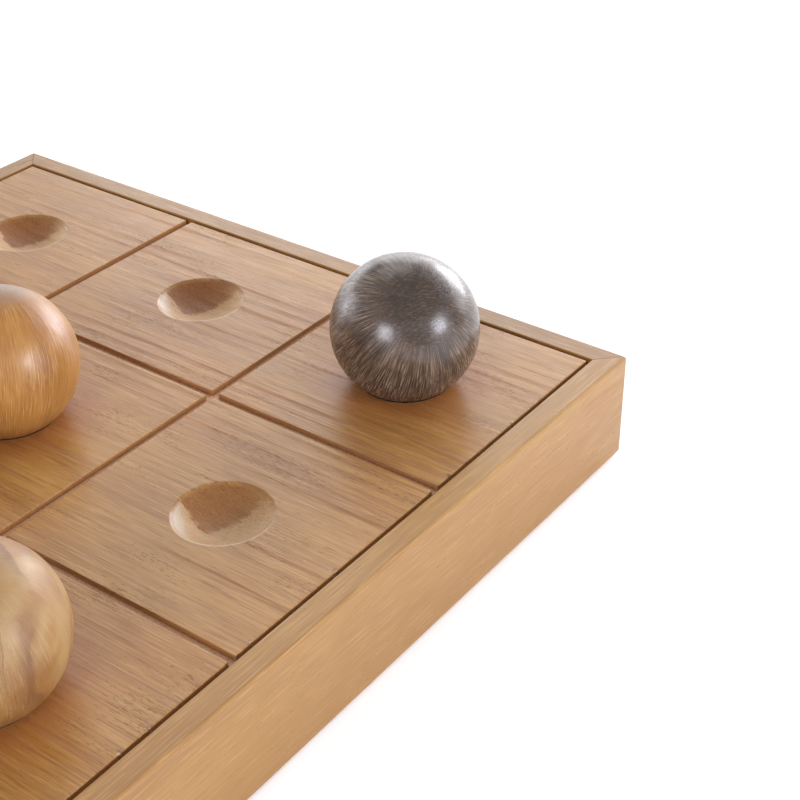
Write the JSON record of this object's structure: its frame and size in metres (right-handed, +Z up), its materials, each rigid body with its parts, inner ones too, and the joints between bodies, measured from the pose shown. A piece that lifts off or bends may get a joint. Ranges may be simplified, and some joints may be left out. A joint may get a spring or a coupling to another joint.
{
  "type": "noughts and crosses board",
  "caption": "Square wooden noughts-and-crosses board: a mitred box frame round a grooved, dimpled panel, with large turned wooden balls that lift out of its cells.",
  "frame": {"origin": "centre of the footprint, on the surface that the board stands on", "axes": "+Z up; +X runs left to right along the back rail, the same way as the panel's grain; +Y points to the back rail"},
  "size_m": [0.3, 0.3, 0.0862],
  "materials": {
    "frame_wood": "pale straight-grained hardwood under satin clear varnish",
    "panel_wood": "pale straight-grained hardwood with soft grey-brown growth lines, satin clear varnish",
    "inner_wood": "sawn and planed softwood, unfinished",
    "base_plywood": "sanded plywood, one thin coat of clear varnish",
    "screw_steel": "zinc-plated wood screws",
    "pad_felt": "dark brown self-adhesive felt",
    "grey_stained_wood": "turned wood, grey-brown stain with the fibres showing through, satin varnish",
    "natural_ball_wood": "turned wood, golden, satin clear varnish"
  },
  "bodies": {
    "board": {"rail_back": "frame_wood", "rail_left": "frame_wood", "rail_front": "frame_wood", "rail_right": "frame_wood", "playing_panel": "panel_wood", "cleat_back": "inner_wood", "cleat_front": "inner_wood", "cleat_right": "inner_wood", "cleat_left": "inner_wood", "batten_left": "inner_wood", "batten_right": "inner_wood", "block_back_right": "inner_wood", "block_back_left": "inner_wood", "block_front_left": "inner_wood", "block_front_right": "inner_wood", "base_panel": "base_plywood", "panel_screws": "screw_steel", "batten_screws": "screw_steel", "base_screws": "screw_steel", "pad_front_left": "pad_felt", "pad_front_right": "pad_felt", "pad_back_left": "pad_felt", "pad_back_right": "pad_felt"},
    "grey_ball_back_right": {"grey_ball_back_right": "grey_stained_wood"},
    "grey_ball_front_middle": {"grey_ball_front_middle": "grey_stained_wood"},
    "grey_ball_front_left": {"grey_ball_front_left": "grey_stained_wood"},
    "natural_ball_centre": {"natural_ball_centre": "natural_ball_wood"},
    "natural_ball_front_right": {"natural_ball_front_right": "natural_ball_wood"},
    "natural_ball_centre_left": {"natural_ball_centre_left": "natural_ball_wood"}
  },
  "joints": [
    {"name": "grey_ball_back_right_lift", "type": "slide", "parent": "board", "child": "grey_ball_back_right", "axis": [0, 0, 1], "range_m": [0, 0.12]},
    {"name": "grey_ball_front_middle_lift", "type": "slide", "parent": "board", "child": "grey_ball_front_middle", "axis": [0, 0, 1], "range_m": [0, 0.12]},
    {"name": "grey_ball_front_left_lift", "type": "slide", "parent": "board", "child": "grey_ball_front_left", "axis": [0, 0, 1], "range_m": [0, 0.12]},
    {"name": "natural_ball_centre_lift", "type": "slide", "parent": "board", "child": "natural_ball_centre", "axis": [0, 0, 1], "range_m": [0, 0.12]},
    {"name": "natural_ball_front_right_lift", "type": "slide", "parent": "board", "child": "natural_ball_front_right", "axis": [0, 0, 1], "range_m": [0, 0.12]},
    {"name": "natural_ball_centre_left_lift", "type": "slide", "parent": "board", "child": "natural_ball_centre_left", "axis": [0, 0, 1], "range_m": [0, 0.12]}
  ]
}
